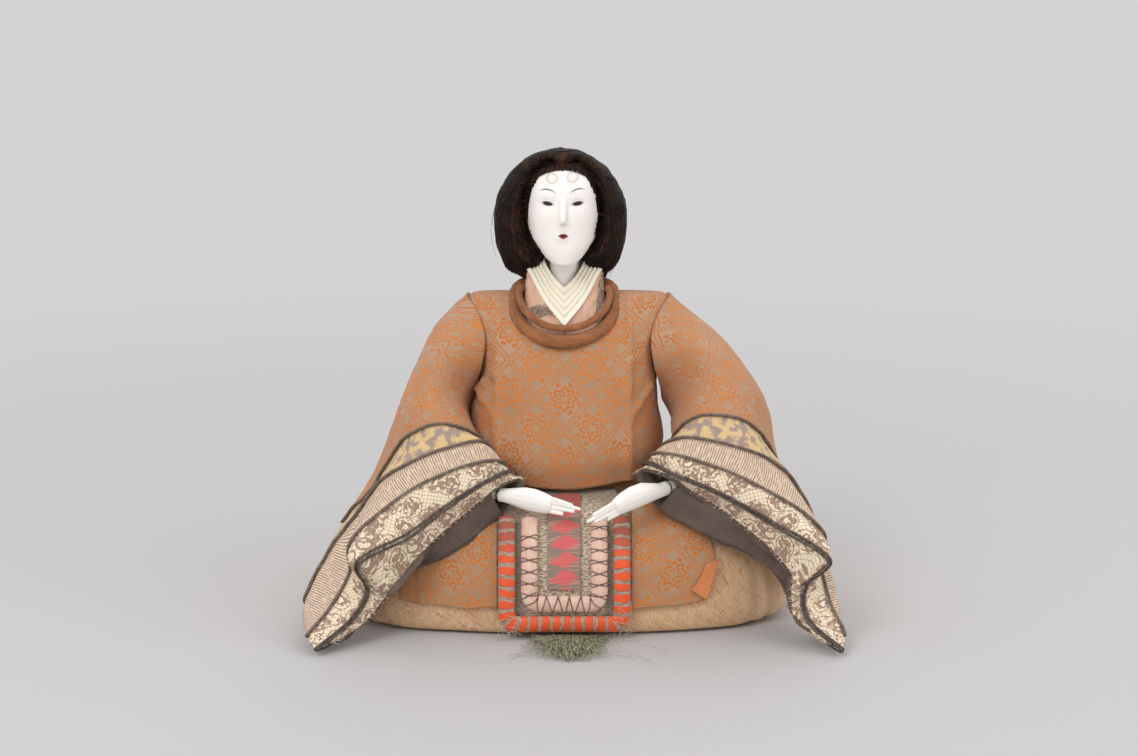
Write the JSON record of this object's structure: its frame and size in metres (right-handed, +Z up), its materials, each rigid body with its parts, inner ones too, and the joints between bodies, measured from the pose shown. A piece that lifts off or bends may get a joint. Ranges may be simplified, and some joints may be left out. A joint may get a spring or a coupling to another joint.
{
  "type": "hina doll",
  "caption": "Seated festival doll of a court lady in layered brocade robes, displayed on a stand; head and hands plug into the body",
  "frame": {"origin": "middle of the base board's underside, on the surface the doll stands on and under the neck peg", "axes": "+Z up; the doll faces -Y; +X is the doll's left"},
  "size_m": [0.238, 0.1757, 0.2084],
  "materials": {
    "board_wood": "bare softwood",
    "peg_wood": "turned peg",
    "straw": "bundled straw",
    "binding_cord": "wound cord",
    "wire": "annealed wire",
    "wadding": "cotton wadding",
    "white_shell_coat": "satin white shell-powder coat",
    "hair": "combed black-brown silk hair",
    "tie_paper": "folded paper tie",
    "brocade": "taupe brocade with orange lattice",
    "gold_band": "gold and mauve band",
    "ribbed_band": "ribbed stripe weave",
    "cream_brocade": "cream figured weave",
    "grey_lining": "thin grey lining",
    "neckline_cord": "padded brocade roll",
    "pink_silk": "faded pink silk, frayed",
    "collar_ivory": "ivory folded layers",
    "straw_weave": "loose straw-coloured weave",
    "orange_silk": "orange silk lining",
    "panel_ground": "grey flecked weave",
    "red_roll": "padded vermilion silk",
    "pink_roll": "padded pale pink silk",
    "rose_band": "rose diamond brocade",
    "green_silk": "loose sage green silk threads"
  },
  "bodies": {
    "body": {"base_board": "board_wood", "straw_core": "straw", "core_binding_lower": "binding_cord", "core_binding_middle": "binding_cord", "core_binding_upper": "binding_cord", "arm_wire": "wire", "right_arm_wrap": "wadding", "left_arm_wrap": "wadding", "body_padding": "wadding", "lap_stuffing": "wadding", "bodice": "brocade", "right_sleeve": "brocade", "left_sleeve": "brocade", "right_front_flap": "brocade", "left_front_flap": "brocade", "back_train": "brocade", "right_cuff_gold": "gold_band", "left_cuff_gold": "gold_band", "right_cuff_ribbed": "ribbed_band", "left_cuff_ribbed": "ribbed_band", "right_cuff_cream": "cream_brocade", "left_cuff_cream": "cream_brocade", "right_cuff_inner_cream": "cream_brocade", "left_cuff_inner_cream": "cream_brocade", "right_sleeve_lining": "grey_lining", "left_sleeve_lining": "grey_lining", "neckline_roll": "neckline_cord", "neckline_inner_roll": "neckline_cord", "right_yoke": "pink_silk", "left_yoke": "pink_silk", "collar_layer_1": "collar_ivory", "collar_layer_2": "collar_ivory", "collar_layer_3": "collar_ivory", "collar_layer_4": "collar_ivory", "collar_layer_5": "collar_ivory", "under_skirt": "straw_weave", "orange_lining": "orange_silk", "panel_backing": "panel_ground", "panel_red_roll": "red_roll", "panel_pink_roll": "pink_roll", "panel_centre_band": "rose_band", "panel_tuft": "green_silk"},
    "neck_post": {"neck_peg": "peg_wood"},
    "head_group": {"head": "white_shell_coat", "hair_cap": "hair", "hair_tail": "hair", "hair_tie": "tie_paper"},
    "right_peg": {"right_hand_peg": "peg_wood"},
    "right_hand_body": {"right_hand": "white_shell_coat"},
    "left_peg": {"left_hand_peg": "peg_wood"},
    "left_hand_body": {"left_hand": "white_shell_coat"}
  },
  "joints": [
    {"name": "head_lift", "type": "slide", "parent": "body", "child": "neck_post", "axis": [0, 0, 1], "range_m": [0, 0.03]},
    {"name": "head_turn", "type": "hinge", "parent": "neck_post", "child": "head_group", "pos_m": [0, 0, 0.15], "axis": [0, 0, 1], "range_deg": [-10, 10]},
    {"name": "right_hand_pull", "type": "slide", "parent": "body", "child": "right_peg", "axis": [0.9378, -0.3365, -0.0851], "range_m": [0, 0.006]},
    {"name": "right_hand_turn", "type": "hinge", "parent": "right_peg", "child": "right_hand_body", "pos_m": [-0.02904, -0.053, 0.06206], "axis": [0.9378, -0.3365, -0.0851], "range_deg": [-20, 20]},
    {"name": "left_hand_pull", "type": "slide", "parent": "body", "child": "left_peg", "axis": [-0.8149, -0.5415, -0.2065], "range_m": [0, 0.006]},
    {"name": "left_hand_turn", "type": "hinge", "parent": "left_peg", "child": "left_hand_body", "pos_m": [0.04596, -0.053, 0.06521], "axis": [-0.8149, -0.5415, -0.2065], "range_deg": [-20, 20]}
  ]
}
